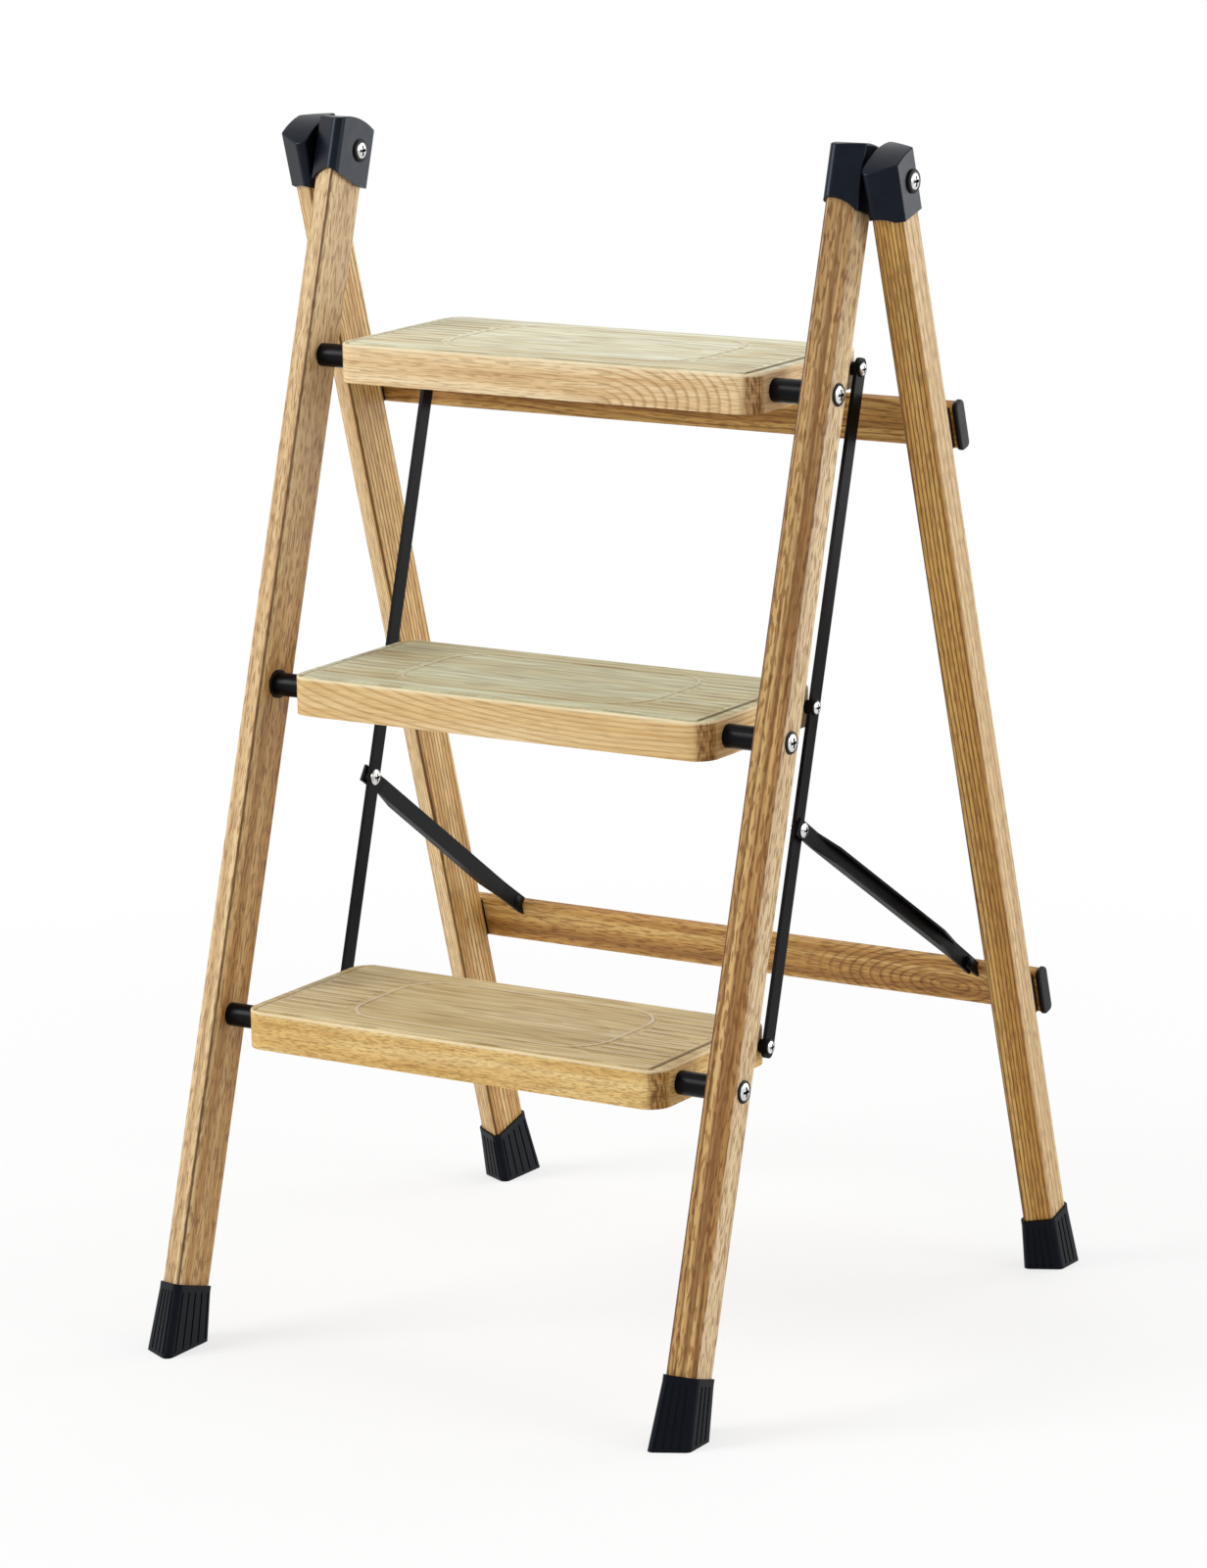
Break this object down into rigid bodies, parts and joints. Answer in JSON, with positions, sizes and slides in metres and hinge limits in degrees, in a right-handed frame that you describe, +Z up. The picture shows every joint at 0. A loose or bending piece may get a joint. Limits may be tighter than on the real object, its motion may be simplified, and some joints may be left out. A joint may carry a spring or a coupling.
{
  "type": "folding stepladder",
  "caption": "Folding household stepladder: wood-grain tube stiles and legs, pressed steps that tilt up on parallel links, diagonal struts, plastic caps and ribbed boots.",
  "frame": {"origin": "on the floor under the middle of the open ladder's bounding box", "axes": "+Z up from the floor, +X across the ladder to the user's right when facing the steps, +Y from the front to the rear legs"},
  "size_m": [0.518, 0.536, 0.8611],
  "materials": {
    "stile_skin": "wood-grain skin, satin",
    "leg_skin": "wood-grain skin, satin",
    "rail_skin": "wood-grain skin, satin",
    "step_skin": "wood-grain skin, gloss",
    "saddle_plastic": "matte",
    "cap_plastic": "gloss",
    "boot_rubber": "matte",
    "plug_plastic": "matte",
    "spacer_plastic": "satin",
    "washer_plastic": "matte",
    "black_steel": "semi-gloss black",
    "zinc": "bright zinc"
  },
  "bodies": {
    "front_frame": {"front_cap_left": "cap_plastic", "front_cap_right": "cap_plastic", "front_foot_left": "boot_rubber", "front_foot_right": "boot_rubber", "front_stile_left": "stile_skin", "front_stile_right": "stile_skin", "hinge_barrel_left": "zinc", "hinge_barrel_right": "zinc", "hinge_screw_left": "zinc", "hinge_screw_right": "zinc", "hinge_washer_left": "washer_plastic", "hinge_washer_right": "washer_plastic", "pivot_nuts_bottom": "zinc", "pivot_nuts_middle": "zinc", "pivot_nuts_top": "zinc", "pivot_screws_bottom": "zinc", "pivot_screws_middle": "zinc", "pivot_screws_top": "zinc", "pivot_spacers_bottom": "spacer_plastic", "pivot_spacers_middle": "spacer_plastic", "pivot_spacers_top": "spacer_plastic", "pivot_washers_middle": "washer_plastic"},
    "rear_frame": {"lower_rail": "rail_skin", "lower_rail_plug_left": "plug_plastic", "lower_rail_plug_right": "plug_plastic", "lower_rail_saddles": "saddle_plastic", "lower_rail_screws": "zinc", "rear_cap_left": "cap_plastic", "rear_cap_right": "cap_plastic", "rear_foot_left": "boot_rubber", "rear_foot_right": "boot_rubber", "rear_leg_left": "leg_skin", "rear_leg_right": "leg_skin", "strut_bracket_left": "black_steel", "strut_bracket_right": "black_steel", "strut_pins": "black_steel", "upper_rail": "rail_skin", "upper_rail_plug_left": "plug_plastic", "upper_rail_plug_right": "plug_plastic", "upper_rail_saddles": "saddle_plastic", "upper_rail_screws": "zinc"},
    "step_bottom": {"link_bosses_bottom": "black_steel", "link_screws_bottom": "zinc", "step_pan_bottom": "step_skin"},
    "step_middle": {"link_bosses_middle": "black_steel", "link_screws_middle": "zinc", "step_pan_middle": "step_skin"},
    "step_top": {"link_bosses_top": "black_steel", "link_screws_top": "zinc", "step_pan_top": "step_skin"},
    "link_left": {"control_link_left": "black_steel", "strut_screw_left": "zinc"},
    "link_right": {"control_link_right": "black_steel", "strut_screw_right": "zinc"},
    "strut_left": {"strut_left": "black_steel", "strut_nut_left": "zinc"},
    "strut_right": {"strut_nut_right": "zinc", "strut_right": "black_steel"}
  },
  "joints": [
    {"name": "fold", "type": "hinge", "parent": "front_frame", "child": "rear_frame", "pos_m": [0, 0.01459, 0.83498], "axis": [-1, 0, 0], "range_deg": [0, 29.5]},
    {"name": "step_bottom_tilt", "type": "hinge", "parent": "front_frame", "child": "step_bottom", "pos_m": [0, -0.17275, 0.2328], "axis": [1, 0, 0], "range_deg": [0, 65.34]},
    {"name": "step_middle_tilt", "type": "hinge", "parent": "front_frame", "child": "step_middle", "pos_m": [0, -0.10419, 0.4628], "axis": [1, 0, 0], "range_deg": [0, 65.34]},
    {"name": "step_top_tilt", "type": "hinge", "parent": "front_frame", "child": "step_top", "pos_m": [0, -0.03562, 0.6928], "axis": [1, 0, 0], "range_deg": [0, 65.34]},
    {"name": "link_left_swing", "type": "hinge", "parent": "step_middle", "child": "link_left", "pos_m": [-0.1787, 0.00331, 0.4628], "axis": [1, 0, 0], "range_deg": [-65.34, 0]},
    {"name": "link_right_swing", "type": "hinge", "parent": "step_middle", "child": "link_right", "pos_m": [0.1787, 0.00331, 0.4628], "axis": [1, 0, 0], "range_deg": [-65.34, 0]},
    {"name": "strut_left_swing", "type": "hinge", "parent": "rear_frame", "child": "strut_left", "pos_m": [-0.196, 0.19132, 0.2377], "axis": [-1, 0, 0], "range_deg": [0, 36.23]},
    {"name": "strut_right_swing", "type": "hinge", "parent": "rear_frame", "child": "strut_right", "pos_m": [0.196, 0.19132, 0.2377], "axis": [-1, 0, 0], "range_deg": [0, 36.23]}
  ],
  "couplings": [
    {"joint": "step_bottom_tilt", "follows": "fold", "ratio": 2.2144},
    {"joint": "step_middle_tilt", "follows": "fold", "ratio": 2.2144},
    {"joint": "step_top_tilt", "follows": "fold", "ratio": 2.2144},
    {"joint": "link_left_swing", "follows": "fold", "ratio": -2.2144},
    {"joint": "link_right_swing", "follows": "fold", "ratio": -2.2144},
    {"joint": "strut_left_swing", "follows": "fold", "ratio": 1.2279},
    {"joint": "strut_right_swing", "follows": "fold", "ratio": 1.2279}
  ]
}
